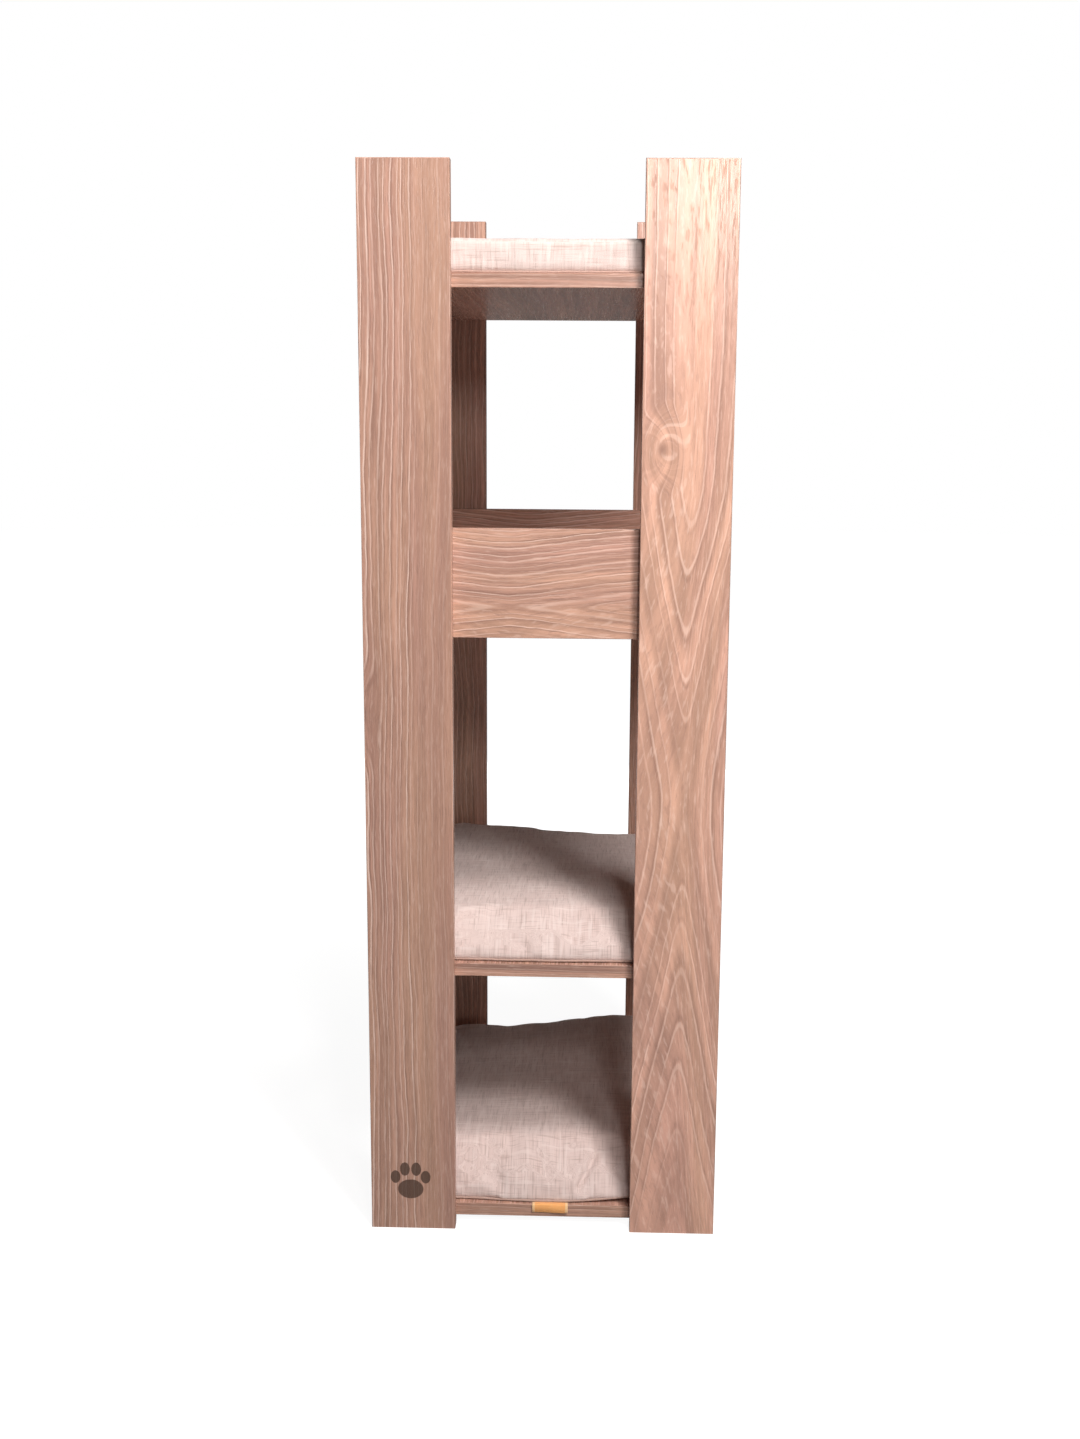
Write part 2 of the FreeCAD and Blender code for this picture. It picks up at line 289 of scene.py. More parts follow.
def wood(name, along, across, look, seed, end=None, mark=None):
    """Wood-look laminate, with growth lines, fibres and pores that run along one axis."""
    s = Shader(name)
    u, v = grain_coordinates(s, along, across, *(end or ()))
    u_seeded = s.add(u, seed)
    ring, core, near = growth_rings(s, u, v, u_seeded, look, seed)
    pale, thin, wide = growth_lines(s, ring, v, u_seeded, look, seed)
    if look["knots"]:
        pale = s.times(pale, s.subtract(1.0, s.times(near, 0.8)))

    bent = s.add(v, s.times(ring, 0.6))
    broad = s.noise(s.combine(s.times(u_seeded, 2.4), s.times(bent, 19.0), seed), 2.0)
    fibre = s.noise(s.combine(s.times(u_seeded, 7.5), s.times(bent, 150.0), seed), 4.0, 0.66)
    dash = s.noise(s.combine(s.times(u_seeded, 52.0), s.times(bent, 430.0), seed), 2.0, 0.6)
    pores = s.smooth(dash, 0.55, 0.70)
    lime = s.smooth(dash, 0.45, 0.30)
    band = s.noise(s.combine(s.times(ring, 0.75 / look["spacing"]), seed + 4.0, 0.0), 2.0, 0.6)
    band_tone = s.smooth(band, 0.30, 0.66, 1.0 - 1.5 * look["bands"], 1.0 + look["bands"])
    fibre_tone = s.smooth(fibre, 0.28, 0.72, 1.0 - look["fibre"], 1.0 + look["fibre"])
    if look["fade"]:
        calm = s.smooth(v, look["fade"][0], look["fade"][1], 0.0, 0.5)
        fibre_tone = s.add(s.times(fibre_tone, s.subtract(1.0, calm)), calm)
    both = s.times(band_tone, fibre_tone)

    shade = s.mix(s.smooth(broad, 0.3, 0.7), WOOD_BASE, WOOD_WARM)
    shade = s.mix(1.0, shade, s.combine(both, both, both), "MULTIPLY")
    shade = s.mix(s.times(wide, look["shadow"]), shade, WOOD_DARK)
    shade = s.mix(s.times(thin, look["dark_line"]), shade, WOOD_VEIN)
    shade = s.mix(s.times(pale, look["light_line"]), shade, WOOD_LINE)
    shade = s.mix(s.times(lime, 0.26), shade, WOOD_LINE)
    shade = s.mix(s.times(pores, 0.34), shade, WOOD_DARK)
    if look["knots"]:
        shade = s.mix(core, shade, WOOD_VEIN)
    tone = look["tone"]
    shade = s.mix(1.0, shade, colour(tone, tone, tone), "MULTIPLY")
    if mark:
        shade = s.mix(mark(s), shade, MARK_BURN)

    relief = s.subtract(s.times(pale, 0.5), s.add(s.times(pores, 0.8), s.times(thin, 0.3)))
    s.bump(s.add(relief, s.times(fibre, 0.6)), 0.00025, 0.5)
    rough = s.add(0.22, s.add(s.times(fibre, 0.10), s.times(pores, 0.15)))
    return s.finish(shade, rough, 0.5)


def paw_mark(centre_x, centre_z, size):
    """A plain paw print: one broad pad and four toes, burnt into the front of a board."""
    pad_and_toes = (
        (0.0, -0.20, 0.34, 0.27),
        (-0.40, 0.14, 0.13, 0.18),
        (-0.15, 0.36, 0.13, 0.19),
        (0.15, 0.36, 0.13, 0.19),
        (0.40, 0.14, 0.13, 0.18),
    )

    def mask(shader):
        x, y, z = shader.place()
        covered = 0.0
        for off_x, off_z, wide, tall in pad_and_toes:
            across = shader.subtract(x, centre_x + off_x * size)
            across = shader.math("DIVIDE", across, wide * size)
            up = shader.subtract(z, centre_z + off_z * size)
            up = shader.math("DIVIDE", up, tall * size)
            away = shader.add(shader.times(across, across), shader.times(up, up))
            spot = shader.smooth(away, 0.92, 1.08, 0.88, 0.0)
            covered = shader.math("MAXIMUM", covered, spot)
        front = shader.math("LESS_THAN", y, TREE_LOW.y + MARK_REACH)
        return shader.times(covered, front)

    return mask


def put(node, material):
    """Give a CAD node its material, in every slot that it has."""
    mesh = nodes[node].data
    if not mesh.materials:
        mesh.materials.append(material)
    for index in range(len(mesh.materials)):
        mesh.materials[index] = material


def make_board_materials():
    """One laminate for each board, and one edge band for each board's edges."""
    band_figure = figure(spacing=0.0046, sway=0.004, wiggle=0.0006, light_line=0.4, calm=0.0)
    posts = {
        "front_left_post": figure(
            heart=(0.4, -POST_CENTRE - 0.30),
            spacing=0.0064,
            sway=0.010,
            wiggle=0.0010,
            light_line=1.0,
            dark_line=0.10,
            shadow=0.60,
            line_width=0.155,
            bands=0.06,
            fibre=0.17,
            calm=0.1,
            fade=(-POST_CENTRE - 0.004, -POST_CENTRE + 0.018),
            knots=((0.612, -POST_GAP - POST_WIDTH + 0.001, 0.020, 4.0),),
        ),
        "front_right_post": figure(
            heart=(0.515, POST_CENTRE + 0.004),
            slope=5.0,
            tip=0.0085,
            eye=0.050,
            reach=(0.58, 0.38),
            spacing=0.0112,
            sway=0.009,
            wiggle=0.0010,
            light_line=0.36,
            dark_line=0.36,
            shadow=0.24,
            line_width=0.10,
            bands=0.10,
            fibre=0.15,
            calm=0.8,
            knots=((0.903, POST_CENTRE - 0.027, 0.036, 1.5),),
            tone=1.32,
        ),
        "rear_left_post": figure(spacing=0.0072, light_line=0.7),
        "rear_right_post": figure(spacing=0.0090, light_line=0.6),
    }
    for number, (post, look) in enumerate(posts.items()):
        seed = 1.7 + 2.6 * number
        mark = None
        if post == "front_left_post":
            mark = paw_mark(-POST_CENTRE - 0.003, MARK_HEIGHT, MARK_SIZE)
        put(post, wood(post + "_laminate", "Z", "X", look, seed, mark=mark))
        end = ("Z", TREE_HIGH.z - BAND, "X")
        put(post + "_edging", wood(post + "_band", "Z", "Y", band_figure, seed + 30.0, end))

    board_figure = figure(spacing=0.0105, light_line=0.4, fibre=0.13, shadow=0.3)
    for number, level in enumerate(LEVELS):
        shelf = level + "_shelf"
        seed = 20.0 + 3.3 * number
        put(shelf, wood(shelf + "_laminate", "Y", "X", board_figure, seed))
        end = ("X", TREE_HIGH.x - BAND, "Y")
        put(shelf + "_edging", wood(shelf + "_band", "X", "Z", band_figure, seed + 30.0, end))

    apron_low, apron_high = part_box("nest_front_apron")
    arch = figure(
        heart=(-0.040, apron_low.z + (apron_high.z - apron_low.z) * 0.29),
        slope=8.5,
        tip=0.0028,
        eye=0.012,
        spacing=0.0068,
        sway=0.005,
        light_line=0.70,
        dark_line=0.40,
        shadow=0.45,
        line_width=0.13,
        bands=0.10,
        calm=0.35,
        tone=1.12,
    )
    for number, apron in enumerate(("nest_front_apron", "nest_rear_apron")):
        seed = 40.0 + 5.1 * number
        put(apron, wood(apron + "_laminate", "X", "Z", arch, seed))
        end = ("X", TREE_HIGH.x - BAND, "Z")
        put(apron + "_edging", wood(apron + "_band", "X", "Y", band_figure, seed + 20.0, end))
    for number, apron in enumerate(("nest_left_apron", "nest_right_apron")):
        seed = 70.0 + 4.7 * number
        look = figure(heart=(0.1, 0.2))
        put(apron, wood(apron + "_laminate", "Y", "Z", look, seed))
        put(apron + "_edging", wood(apron + "_band", "Y", "X", band_figure, seed + 9.0))
    put("nest_floor", wood("nest_floor_laminate", "Y", "X", board_figure, 83.0))


# ---------------------------------------------------------------------------
# Fittings


def turned_metal(name, base, roughness):
    """Metal with fine turning marks and a few dull spots."""
    s = Shader(name)
    x, y, z = s.place()
    fine = s.noise(s.combine(s.times(x, 2600.0), s.times(y, 2600.0), s.times(z, 2600.0)), 2.0)
    dull = s.noise(s.combine(s.times(x, 160.0), s.times(y, 160.0), s.times(z, 160.0)), 3.0)
    shade = s.mix(s.smooth(dull, 0.35, 0.75, 0.0, 0.5), base, colour(0.30, 0.29, 0.28))
    s.bump(fine, 0.00006, 0.5)
    s.bsdf.inputs["Metallic"].default_value = 1.0
    return s.finish(shade, s.add(roughness, s.times(dull, 0.2)), 0.5)


def beech(name):
    """Pale dowel wood with short flecks along the peg."""
    s = Shader(name)
    x, y, z = s.place()
    fleck = s.noise(s.combine(s.times(x, 900.0), s.times(y, 120.0), s.times(z, 900.0)), 3.0)
    shade = s.mix(s.smooth(fleck, 0.35, 0.7), colour(0.62, 0.42, 0.24), colour(0.44, 0.27, 0.14))
    s.bump(fleck, 0.0001, 0.4)
    return s.finish(shade, s.add(0.55, s.times(fleck, 0.2)), 0.4)


def make_fitting_materials():
    zinc = turned_metal("cam_zinc", colour(0.58, 0.58, 0.60), 0.38)
    steel = turned_metal("plated_steel", colour(0.66, 0.65, 0.63), 0.26)
    peg = beech("dowel_beech")
    for name in nodes:
        if name.endswith("_cam_housings"):
            put(name, zinc)
        elif name.endswith("_cam_bolts") or name.endswith("_screws"):
            put(name, steel)
        elif name.endswith("_dowels"):
            put(name, peg)


# ---------------------------------------------------------------------------
# Cloth


def linen(name, thread, light_thread, dark_thread, seed):
    """Slubby linen: uneven threads both ways, with the weave on top and a soft nap."""
    s = Shader(name)
    x, y, z = s.place()
    normal = s.split(s.node("NewGeometry").outputs["Normal"])
    on_side = s.smooth(s.math("ABSOLUTE", normal[0]), 0.66, 0.76)
    on_front = s.smooth(s.math("ABSOLUTE", normal[1]), 0.66, 0.76)
    u = s.add(s.times(x, s.subtract(1.0, on_side)), s.times(z, on_side))
    v = s.add(s.times(y, s.subtract(1.0, on_front)), s.times(z, on_front))
    u = s.add(u, seed)

    wander = s.times(s.noise(s.combine(s.times(u, 9.0), s.times(v, 9.0), seed), 1.0), 0.004)
    warp = s.noise(s.combine(s.times(s.add(u, wander), 780.0), s.times(v, 34.0), seed), 2.0, 0.6)
    across = s.combine(s.times(u, 30.0), s.times(s.add(v, wander), 700.0), seed + 5.0)
    weft = s.noise(across, 2.0, 0.6)
    slub_up = s.noise(s.combine(s.times(u, 240.0), s.times(v, 22.0), seed + 8.0), 1.0)
    slub_across = s.noise(s.combine(s.times(u, 24.0), s.times(v, 210.0), seed + 11.0), 1.0)
    cloud = s.noise(s.combine(s.times(u, 16.0), s.times(v, 16.0), seed + 2.0), 2.0)

    shade = s.mix(s.smooth(cloud, 0.3, 0.7, 0.0, 0.35), thread, light_thread)
    shade = s.mix(s.smooth(warp, 0.52, 0.70, 0.0, 0.60), shade, dark_thread)
    shade = s.mix(s.smooth(weft, 0.52, 0.70, 0.0, 0.55), shade, dark_thread)
    shade = s.mix(s.smooth(slub_up, 0.55, 0.68, 0.0, 0.50), shade, light_thread)
    shade = s.mix(s.smooth(slub_across, 0.56, 0.70, 0.0, 0.48), shade, light_thread)
    shade = s.mix(s.smooth(slub_up, 0.43, 0.30, 0.0, 0.26), shade, dark_thread)

    pitch = 2 * math.pi / 0.0011
    over = s.math("SINE", s.times(u, pitch))
    under = s.math("SINE", s.times(v, pitch))
    weave = s.times(over, under)
    height = s.add(s.times(weave, 0.5), s.add(s.times(slub_up, 1.3), s.times(slub_across, 1.1)))
    s.bump(height, 0.00035, 0.75)
    # Painted shade: where the weave dips low, between the crossing threads, the colour is pulled
    # up to a tenth towards the dark thread
    shade = s.mix(s.smooth(weave, -1.0, 1.0, 0.10, 0.0), shade, dark_thread)
    s.bsdf.inputs["Sheen Weight"].default_value = 0.22
    s.bsdf.inputs["Sheen Roughness"].default_value = 0.5
    return s.finish(shade, s.add(0.86, s.times(cloud, 0.08)), 0.18)


def twill(name, base, stripe, edge, centre_x, half_width):
    """The woven ribbon of the tag: fine ribs and a paler selvedge along its short ends."""
    s = Shader(name)
    x, y, z = s.place()
    rib = s.math("SINE", s.times(s.add(x, s.subtract(z, y)), 2 * math.pi / 0.0012))
    wear = s.noise(s.combine(s.times(x, 420.0), s.times(y, 420.0), s.times(z, 420.0)), 2.0)
    from_middle = s.math("ABSOLUTE", s.subtract(x, centre_x))
    selvedge = s.smooth(from_middle, half_width - 0.0035, half_width - 0.0025)
    shade = s.mix(s.smooth(rib, -0.4, 0.9, 0.0, 0.45), base, stripe)
    shade = s.mix(s.smooth(wear, 0.45, 0.75, 0.0, 0.4), shade, stripe)
    shade = s.mix(s.times(selvedge, 0.8), shade, edge)
    s.bump(rib, 0.00012, 0.6)
    s.bsdf.inputs["Sheen Weight"].default_value = 0.3
    return s.finish(shade, s.add(0.6, s.times(wear, 0.15)), 0.3)


# ---------------------------------------------------------------------------
# Cushions


def rounded_outline(half_x, half_y, corner, waist, count):
    """Points round a cushion seen from above. The sides pull in by waist between corners."""
    straight_x, straight_y = half_x - corner, half_y - corner
    arc = corner * math.pi / 2
    around = 4 * (straight_x + straight_y + arc)
    points = []
    for index in range(count):
        left = around * index / count
        for quarter in range(4):
            first, second = straight_x, straight_y
            if quarter % 2:
                first, second = straight_y, straight_x
            if left <= first + arc + second or quarter == 3:
                break
            left -= first + arc + second
        turn = quarter * math.pi / 2
        half_first = half_x if quarter % 2 else half_y
        half_second = half_y if quarter % 2 else half_x
        if left < first:
            pull = waist * (1 - (left / first) ** 2)
            local = (left, -half_first + pull)
        elif left < first + arc:
            angle = (left - first) / corner
            rounding = corner * (1 - math.cos(angle))
            local = (first + corner * math.sin(angle), -half_first + rounding)
        else:
            rest = left - first - arc
            away = -(second - rest)
            pull = waist * (1 - (away / second) ** 2)
            local = (half_second - pull, away)
        x = local[0] * math.cos(turn) - local[1] * math.sin(turn)
        y = local[0] * math.sin(turn) + local[1] * math.cos(turn)
        points.append((x, y))
    return points


def front_bow(x, y, half_y, amount):
    """How far the front side stands out at x, which fades towards the back."""
    across = max(0.0, 1 - (x / POST_GAP) ** 2)
    forward = max(0.0, -y / half_y - 0.55) / 0.45
    return amount * across * across * forward * forward


def cushion_height(nx, ny, style):
    """Height of the cushion at a place from -1 to 1 across it and from front to back."""
    crown = style["crown"] * (1 - abs(nx) ** 2.4) * (1 - abs(ny) ** 2.4)
    backward = max(0.0, min(1.0, ny * 0.5 + 0.5))
    lean = style["lean"] * math.tanh(2.0 * nx) * backward ** 1.3
    rise = style["rise"] * backward * backward
    return style["height"] + crown + lean + rise


def rim_lift(x, y, style):
    """How far the seam lifts off the shelf, for a cushion with a raised corner."""
    lift = 0.0
    for at_x, at_y, height, reach in style["rim_lifts"]:
        away = math.hypot(x - at_x, y - at_y) / reach
        lift += height * max(0.0, 1 - away) ** 2
    return lift


def cushion_form(name, low, high, style):
    """A closed cushion: a flat base, sides that round over, and a crowned top."""
    around, across_rings, side_rings = 288, 46, 26
    centre = (low + high) / 2
    half_x = (high.x - low.x) / 2 - style["inset"]
    half_y = (high.y - low.y) / 2 - style["inset"]
    rim = rounded_outline(half_x, half_y, style["corner"], style["waist"], around)
    power = style["roundness"]
    shoulder = style["shoulder"]

    def ring(mesh, inward, keep, climb):
        """One row of points: shrunk by inward and then by keep, climb of the way up."""
        row = []
        for x, y in rim:
            px = x * (1 - inward * shoulder / half_x) * keep
            shoulder_y = style["back_shoulder"] if y > 0 else shoulder
            py = y * (1 - inward * shoulder_y / half_y) * keep
            tall = cushion_height(px / half_x, py / half_y, style)
            pz = low.z + tall * climb + rim_lift(px, py, style) * (1 - climb)
            py -= front_bow(px, py, half_y, style["bow"])
            row.append(mesh.verts.new((centre.x + px, centre.y + py, pz)))
        return row

    mesh = bmesh.new()
    rows = []
    for step in range(side_rings + 1):
        climb = math.sin(math.pi / 2 * step / side_rings)
        inward = 1 - (1 - climb**power) ** (1 / power)
        rows.append(ring(mesh, inward, 1.0, climb))
    for step in range(1, across_rings):
        rows.append(ring(mesh, 1.0, 1 - step / across_rings, 1.0))
    for lower, upper in zip(rows, rows[1:]):
        for index in range(around):
            after = (index + 1) % around
            mesh.faces.new((lower[index], lower[after], upper[after], upper[index]))
    mesh.faces.new(rows[-1])
    mesh.faces.new(list(reversed(rows[0])))
    bmesh.ops.triangulate(mesh, faces=[face for face in mesh.faces if len(face.verts) > 4])
    return mesh_object(name, mesh)


def mesh_object(name, mesh):
    data = bpy.data.meshes.new(name)
    mesh.to_mesh(data)
    mesh.free()
    made = bpy.data.objects.new(name, data)
    bpy.context.scene.collection.objects.link(made)
    return made


def activate(piece):
    bpy.ops.object.select_all(action="DESELECT")
    piece.select_set(True)
    bpy.context.view_layer.objects.active = piece


def apply_modifier(piece, modifier):
    activate(piece)
    bpy.ops.object.modifier_apply(modifier=modifier.name)


def inflate(piece, low, centre, style):
    """Remesh the form, let cloth under air pressure take it, and keep the result. The base and
    the seam round it are pinned, and no point moves further than the style's cap."""
    remesh = piece.modifiers.new("remesh", "REMESH")
    remesh.mode = "VOXEL"
    remesh.voxel_size = style["voxel"]
    apply_modifier(piece, remesh)
    before = [vertex.co.copy() for vertex in piece.data.vertices]
    pinned = piece.vertex_groups.new(name="pinned")
    for vertex in piece.data.vertices:
        place = vertex.co
        seam = low.z + rim_lift(place.x - centre.x, place.y - centre.y, style)
        weight = 1.0 - min(1.0, max(0.0, (place.z - seam - 0.003) / 0.006))
        pinned.add([vertex.index], weight, "REPLACE")
    cloth = piece.modifiers.new("cloth", "CLOTH")
    settings = cloth.settings
    settings.quality = 6
    settings.mass = 0.25
    settings.tension_stiffness = 18
    settings.compression_stiffness = 18
    settings.shear_stiffness = 8
    settings.bending_stiffness = 0.7
    settings.use_pressure = True
    settings.uniform_pressure_force = style["pressure"]
    settings.shrink_min = -style["slack"]
    settings.vertex_group_mass = "pinned"
    settings.effector_weights.gravity = 0.0
    cloth.collision_settings.use_collision = False
    scene = bpy.context.scene
    for number in range(1, CLOTH_STEPS + 1):
        scene.frame_set(number)
    apply_modifier(piece, cloth)
    scene.frame_set(1)
    for vertex, start in zip(piece.data.vertices, before):
        moved = vertex.co - start
        if moved.length > style["cap"]:
            vertex.co = start + moved * (style["cap"] / moved.length)
    piece.vertex_groups.clear()


POST_CLEARANCE = 0.6 * MM


def settle(piece, low, style):
    """Smooth, subdivide once, press in the creases, and keep the cloth off the boards."""
    smooth = piece.modifiers.new("smooth", "SMOOTH")
    smooth.factor = 0.5
    smooth.iterations = 2
    apply_modifier(piece, smooth)
    fine = piece.modifiers.new("fine", "SUBSURF")
    fine.levels = 1
    apply_modifier(piece, fine)
    mesh = bmesh.new()
    mesh.from_mesh(piece.data)
    mesh.normal_update()
    wall = abs(SHELF_FRONT) - POST_CLEARANCE
    for vertex in mesh.verts:
        place = vertex.co
        depth = sum(crease_depth(place, crease) for crease in style["creases"])
        lump = noise.fractal(place * 15.0 + Vector((style["seed"], 0, 0)), 0.9, 2.0, 3)
        upper = min(1.0, max(0.0, (place.z - low.z) / 0.02))
        vertex.co = place + vertex.normal * (lump * style["lumps"] * upper - depth)
        if abs(vertex.co.x) > POST_GAP - 3 * MM:
            vertex.co.y = min(wall, max(-wall, vertex.co.y))
        vertex.co.x = min(TREE_HIGH.x, max(TREE_LOW.x, vertex.co.x))
        vertex.co.z = max(low.z + 0.2 * MM, vertex.co.z)
    mesh.to_mesh(piece.data)
    mesh.free()
    for polygon in piece.data.polygons:
        polygon.use_smooth = True


# Creases are pressed only into what lies in front of this
FRONT_PART = -0.15


def crease_depth(place, crease):
    """Depth of a crease at a point. A crease lies on the cushion's front, and has two ends seen
    from there, each a distance across and a height, a width and a depth."""
    start, end, width, depth = crease
    if place.y > FRONT_PART:
        return 0.0
    start, end = Vector(start), Vector(end)
    seen = Vector((place.x, place.z))
    span = end - start
    along = (seen - start).dot(span) / span.length_squared
    nearest = start + span * min(1.0, max(0.0, along))
    away = (seen - nearest).length / width
    fade = max(0.0, 1 - abs(along - 0.5) * 1.5)
    return depth * math.exp(-away * away) * min(1.0, fade * 2)


CORD_TUCK = 2.8 * MM


def piping_tube(name, low, high, style, radius):
    """The corded seam that follows the cushion's lower rim, tucked in against the cloth."""
    half_x = (high.x - low.x) / 2 - style["inset"] - CORD_TUCK
    half_y = (high.y - low.y) / 2 - style["inset"] - CORD_TUCK
    centre = (low + high) / 2
    rim = rounded_outline(half_x, half_y, style["corner"] - CORD_TUCK, style["waist"], 320)
    curve = bpy.data.curves.new(name, "CURVE")
    curve.dimensions = "3D"
    curve.bevel_depth = radius
    curve.bevel_resolution = 5
    spline = curve.splines.new("POLY")
    spline.points.add(len(rim) - 1)
    for point, (x, y) in zip(spline.points, rim):
        wave = noise.noise(Vector((x * 30.0, y * 30.0, style["seed"])))
        z = low.z + radius * (1.0 + 0.25 * (wave + 1.0)) + rim_lift(x, y, style)
        y -= front_bow(x, y, half_y, style["bow"] * 1.05)
        point.co = (centre.x + x, centre.y + y, z, 1.0)
    spline.use_cyclic_u = True
    tube = bpy.data.objects.new(name, curve)
    bpy.context.scene.collection.objects.link(tube)
    activate(tube)
    bpy.ops.object.convert(target="MESH")
    for polygon in tube.data.polygons:
        polygon.use_smooth = True
    return tube


CLOTH_STEPS = 20

PLAIN_STYLE = {
    "inset": 2 * MM,
    "corner": 30 * MM,
    "waist": 2 * MM,
    "roundness": 2.0,
    "lean": 0.0,
    "rise": 0.0,
    "rim_lifts": (),
    "bow": 0.0,
    "voxel": 5 * MM,
    "pressure": 4.0,
    "slack": 0.02,
    "cap": 8 * MM,
    "creases": (),
}

STYLES = {
    "top": {
        **PLAIN_STYLE,
        "corner": 24 * MM,
        "shoulder": 6 * MM,
        "back_shoulder": 6 * MM,
        "roundness": 2.4,
        "height": 36 * MM,
        "crown": 1 * MM,
        "waist": 1 * MM,
        "pressure": 1.5,
        "slack": 0.004,
        "cap": 2 * MM,
        "lumps": 0.5 * MM,
        "seed": 3.0,
    },
    "middle": {
        **PLAIN_STYLE,
        "shoulder": 34 * MM,
        "back_shoulder": 24 * MM,
        "height": 42.5 * MM,
        "crown": 4 * MM,
        "lean": -7.5 * MM,
        "bow": 3 * MM,
        "lumps": 0.8 * MM,
        "seed": 7.0,
    },
    "bottom": {
        **PLAIN_STYLE,
        "shoulder": 44 * MM,
        "back_shoulder": 22 * MM,
        "height": 50 * MM,
        "crown": 6 * MM,
        "lean": 12 * MM,
        "rise": 4 * MM,
        "rim_lifts": ((0.110, -0.231, 7 * MM, 0.085),),
        "bow": 6 * MM,
        "lumps": 0.8 * MM,
        "creases": (
            ((0.041, 0.040), (0.062, 0.072), 3.2 * MM, 4.5 * MM),
            ((-0.062, 0.052), (-0.040, 0.080), 7.0 * MM, 1.5 * MM),
        ),
        "seed": 11.0,
    },
}


# Each linen's thread, light thread, dark thread and seed
LINENS = {
    "top": (
        colour(0.760, 0.600, 0.560),
        colour(0.865, 0.755, 0.710),
        colour(0.520, 0.380, 0.335),
        1.3,
    ),
    "middle": (
        colour(0.770, 0.600, 0.560),
        colour(0.890, 0.750, 0.710),
        colour(0.480, 0.345, 0.310),
        2.9,
    ),
    "bottom": (
        colour(0.760, 0.590, 0.550),
        colour(0.880, 0.730, 0.690),
        colour(0.480, 0.340, 0.305),
        4.7,
    ),
}
PIPING_LINEN = (
    colour(0.540, 0.360, 0.300),
    colour(0.640, 0.460, 0.400),
    colour(0.400, 0.250, 0.200),
    6.1,
)

PIPING_RADIUS = 1.4 * MM


def make_cushions():
    cloth = {level: linen("linen_" + level, *threads) for level, threads in LINENS.items()}
    cord = linen("linen_piping", *PIPING_LINEN)
    for level in LEVELS:
        style = STYLES[level]
        low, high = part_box(level + "_cushion_cover")
        body = level + "_cushion"
        cushion = cushion_form(body + "_cloth", low, high, style)
        inflate(cushion, low, (low + high) / 2, style)
        settle(cushion, low, style)
        cushion.data.materials.append(cloth[level])
        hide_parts(body + "_cover", body + "_filling")
        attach(cushion, body)
        tube = piping_tube(body + "_seam_cord", low, high, style, PIPING_RADIUS)
        tube.data.materials.append(cord)
        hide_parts(body + "_piping")
        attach(tube, body)


RIBBON = colour(1.00, 0.43, 0.13)
RIBBON_STRIPE = colour(1.00, 0.56, 0.24)
RIBBON_EDGE = colour(1.00, 0.68, 0.38)
RIBBON_THICKNESS = 0.8 * MM


def make_tag():
    """The ribbon: folded over the shelf's edge, slightly curled, with a soft lower fold."""
    low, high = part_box("woven_tag")
    shelf_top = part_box("bottom_shelf")[1].z
    thickness = RIBBON_THICKNESS
    front = low.y + thickness / 2
    across, down = 28, 18
    mesh = bmesh.new()
    grid = []
    for row in range(down + 1):
        line = []
        for column in range(across + 1):
            share = column / across
            x = low.x + (high.x - low.x) * share
            curl = 0.0008 * math.sin(share * math.pi * 1.5 + 0.6)
            t = row / down
            if t < 0.3:
                y = high.y + (front - high.y) * (t / 0.3)
                z = shelf_top + thickness
            else:
                fall = (t - 0.3) / 0.7
                y = front - 0.0010 * math.sin(fall * math.pi) + curl * fall
                z = shelf_top + thickness - (high.z - low.z - thickness) * fall
            line.append(mesh.verts.new((x, y, z)))
        grid.append(line)
    for upper, lower in zip(grid, grid[1:]):
        for index in range(across):
            mesh.faces.new((upper[index], lower[index], lower[index + 1], upper[index + 1]))
    tag = mesh_object("ribbon_tag", mesh)
    solid = tag.modifiers.new("solid", "SOLIDIFY")
    solid.thickness = thickness
    solid.offset = 0.0
    apply_modifier(tag, solid)
    round_over = tag.modifiers.new("round", "SUBSURF")
    round_over.levels = 1
    apply_modifier(tag, round_over)
    for polygon in tag.data.polygons:
        polygon.use_smooth = True
    tag.data.materials.append(
        twill(
            "tag_twill",
            RIBBON,
            RIBBON_STRIPE,
            RIBBON_EDGE,
            (low.x + high.x) / 2,
            (high.x - low.x) / 2,
        )
    )
    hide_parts("woven_tag")
    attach(tag, "bottom_cushion")
    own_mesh(tag)


# ---------------------------------------------------------------------------
# Stage, light and camera


FLOOR_RADIUS = 14.0
FLOOR_IN_GLOSS = 0.13
FLOOR_DARK = colour(0.29, 0.29, 0.29)
FLOOR_LIGHT = colour(0.32, 0.32, 0.32)
WHITE = colour(1.0, 1.0, 1.0)


def make_floor():
    """A plain pale floor, which fades to white away from the tree."""
    s = Shader("studio_floor")
    x, y, z = s.place()
    away = s.math("SQRT", s.add(s.times(x, x), s.times(y, y)))
    mottle = s.noise(s.combine(s.times(x, 3.0), s.times(y, 3.0), 0.0), 2.0)
    shade = s.mix(s.smooth(mottle, 0.3, 0.7), FLOOR_DARK, FLOOR_LIGHT)
    s.finish(shade, 0.9, 0.0)
    path = s.node("LightPath")
    in_gloss = s.times(path.outputs["Is Glossy Ray"], FLOOR_IN_GLOSS)
    seen = s.math("MAXIMUM", path.outputs["Is Camera Ray"], in_gloss)
    glow = s.node("Emission")
    glow.inputs["Color"].default_value = WHITE
    s.feed(glow.inputs["Strength"], s.times(seen, s.smooth(away, 0.3, 1.3, 0.93, 1.0)))
    both = s.node("AddShader")
    s.tree.links.new(s.bsdf.outputs[0], both.inputs[0])
    s.tree.links.new(glow.outputs[0], both.inputs[1])
    s.tree.links.new(both.outputs[0], s.tree.nodes["Material Output"].inputs["Surface"])
    mesh = bmesh.new()
    bmesh.ops.create_circle(mesh, cap_ends=True, segments=96, radius=FLOOR_RADIUS)
    floor = mesh_object("studio_floor", mesh)
    floor.data.materials.append(s.material)


WORLD_LIGHT = 0.015
WORLD_IN_GLOSS = 0.16


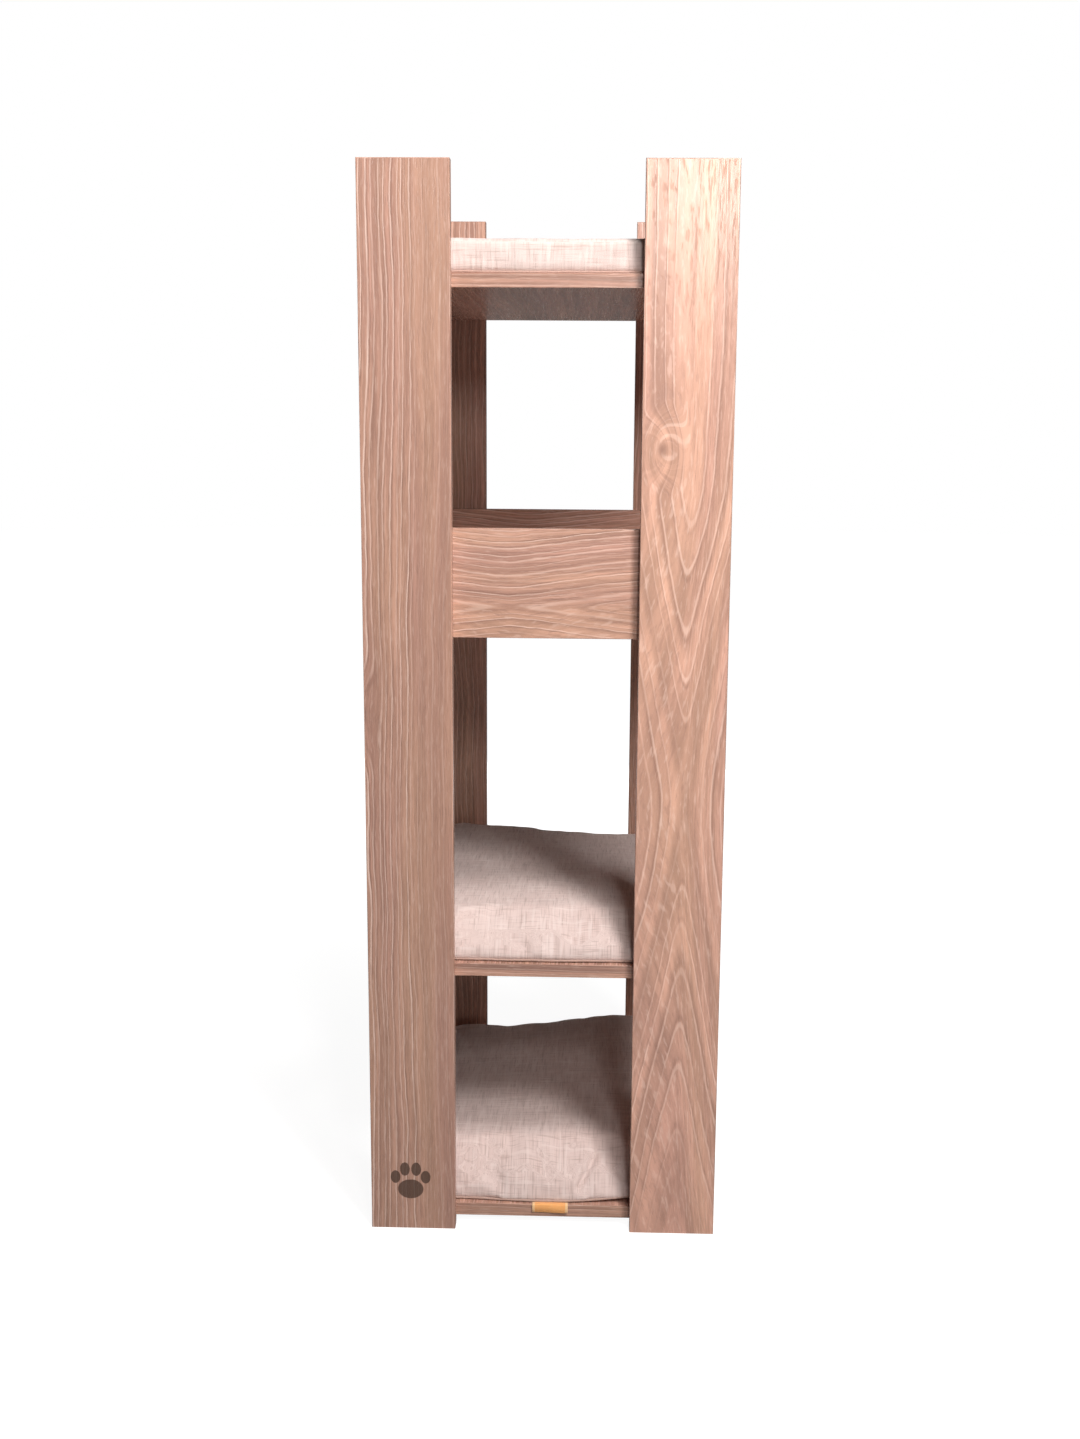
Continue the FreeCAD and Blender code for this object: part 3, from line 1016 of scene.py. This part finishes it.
def make_world():
    """White all round to the eye, and a dim room as a source of light."""
    world = bpy.data.worlds.new("studio")
    bpy.context.scene.world = world
    world.use_nodes = True
    tree = world.node_tree
    background = tree.nodes["Background"]
    path = tree.nodes.new("ShaderNodeLightPath")
    sheen = tree.nodes.new("ShaderNodeMath")
    sheen.operation = "MULTIPLY_ADD"
    sheen.inputs[1].default_value = WORLD_IN_GLOSS
    sheen.inputs[2].default_value = WORLD_LIGHT
    pick = tree.nodes.new("ShaderNodeMath")
    pick.operation = "MAXIMUM"
    tree.links.new(path.outputs["Is Glossy Ray"], sheen.inputs[0])
    tree.links.new(path.outputs["Is Camera Ray"], pick.inputs[0])
    tree.links.new(sheen.outputs[0], pick.inputs[1])
    tree.links.new(pick.outputs[0], background.inputs["Strength"])
    background.inputs["Color"].default_value = WHITE


# Where each light stands, where it points, its width, height and power, and if it shows in gloss
MIDDLE = (0.05, -0.2, 0.7)
LIGHTS = {
    "key": ((0.95, -1.8, 2.3), MIDDLE, 0.5, 0.6, 41.0, True),
    "above": ((0.5, -1.15, 2.8), MIDDLE, 0.5, 0.6, 38.0, True),
    "gloss": ((0.33, -2.0, 1.47), (0.15, -0.25, 1.1), 0.2, 0.24, 7.5, True),
    "low": ((0.3, -2.6, 0.5), (0.0, 0.0, 0.5), 0.5, 0.4, 3.0, False),
    "behind": ((0.2, 2.4, 0.22), (0.0, 0.2, 0.6), 1.8, 0.3, 15.0, False),
    "left": ((-2.4, 0.5, 0.22), (0.0, 0.0, 0.6), 1.4, 0.3, 6.0, False),
}


def area_light(name, place, target, width, height, power, glossy):
    light = bpy.data.lights.new(name, "AREA")
    light.shape = "RECTANGLE"
    light.size = width
    light.size_y = height
    light.energy = power
    light.color = (1.0, 0.985, 0.965)
    holder = bpy.data.objects.new(name, light)
    holder.location = place
    holder.visible_glossy = glossy
    towards = Vector(target) - Vector(place)
    holder.rotation_euler = towards.to_track_quat("-Z", "Y").to_euler()
    bpy.context.scene.collection.objects.link(holder)


def make_lights():
    """A key from the front right, one above it, a small one for the gloss, a weak one low in
    front, and low lights behind and on the left for the sides that the camera does not see."""
    for name, (place, target, width, height, power, glossy) in LIGHTS.items():
        area_light(name, place, target, width, height, power, glossy)


def make_camera():
    lens = bpy.data.cameras.new("camera")
    lens.lens = CAMERA_LENS
    lens.sensor_width = 36.0
    lens.sensor_fit = "AUTO"
    lens.shift_x, lens.shift_y = CAMERA_SHIFT
    camera = bpy.data.objects.new("camera", lens)
    turn = Matrix.Rotation(-CAMERA_YAW, 4, "Z")
    tilt = Matrix.Rotation(math.pi / 2 - CAMERA_PITCH, 4, "X")
    roll = Matrix.Rotation(CAMERA_ROLL, 4, "Z")
    camera.matrix_world = Matrix.Translation(CAMERA_PLACE) @ turn @ tilt @ roll
    bpy.context.scene.collection.objects.link(camera)
    bpy.context.scene.camera = camera


def plain_colours():
    view = bpy.context.scene.view_settings
    view.view_transform = "Standard"
    view.look = "None"


make_board_materials()
make_fitting_materials()
make_cushions()
make_tag()
make_floor()
make_world()
make_lights()
make_camera()
plain_colours()
